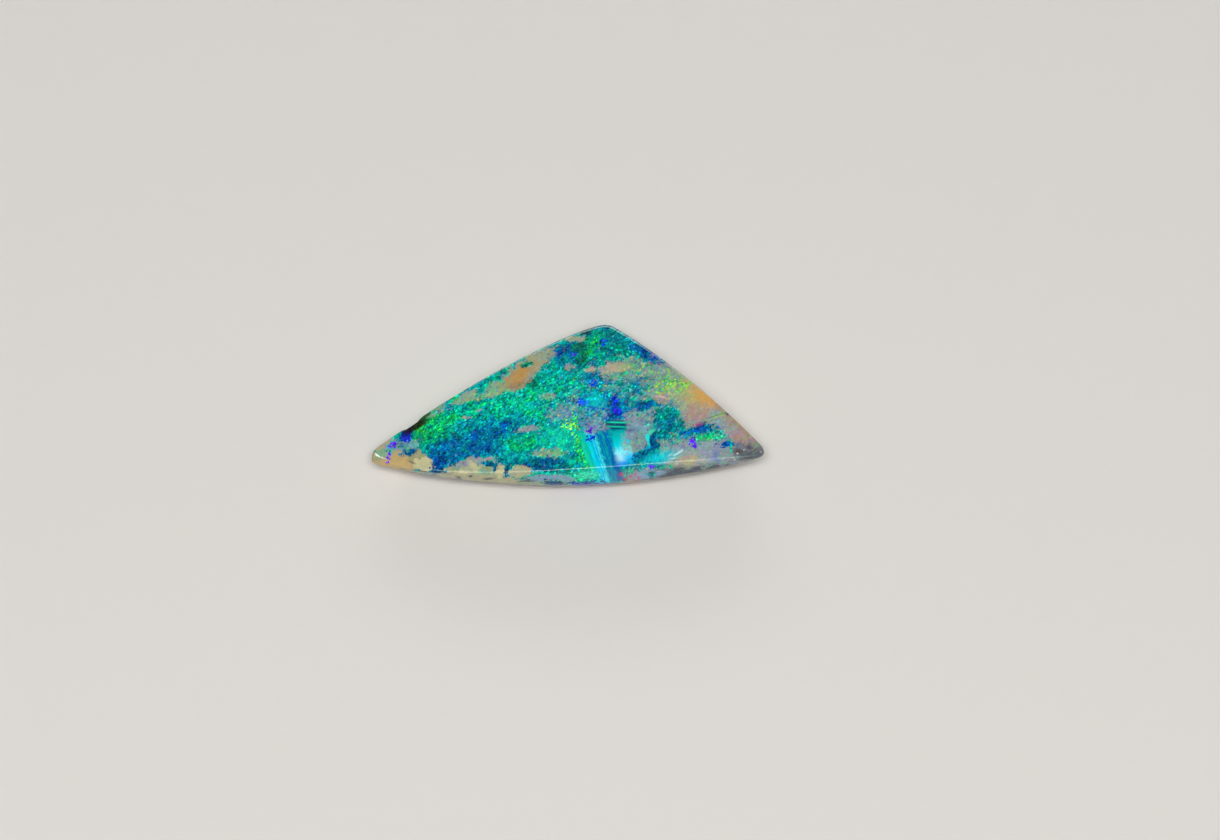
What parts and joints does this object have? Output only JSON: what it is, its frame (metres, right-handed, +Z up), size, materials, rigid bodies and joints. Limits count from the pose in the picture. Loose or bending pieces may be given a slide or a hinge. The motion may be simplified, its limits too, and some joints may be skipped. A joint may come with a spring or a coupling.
{
  "type": "opalized wood cabochon",
  "caption": "Polished triangular cabochon of opalized wood with bowed sides, a low domed face, a bevelled girdle and a flat back.",
  "frame": {"origin": "on the plane of the flat back, under the middle of the stone's bounding box", "axes": "+Z up through the domed face, +X along the long side from the left tip to the right tip, +Y from the front side towards the apex"},
  "size_m": [0.022, 0.0102, 0.0028],
  "materials": {
    "polished_opal": "high polish over pinfire play of colour in teal, green and blue, with cream, ochre and grey potch"
  },
  "bodies": {
    "root": {"opalized_wood_cabochon": "polished_opal"}
  },
  "joints": []
}
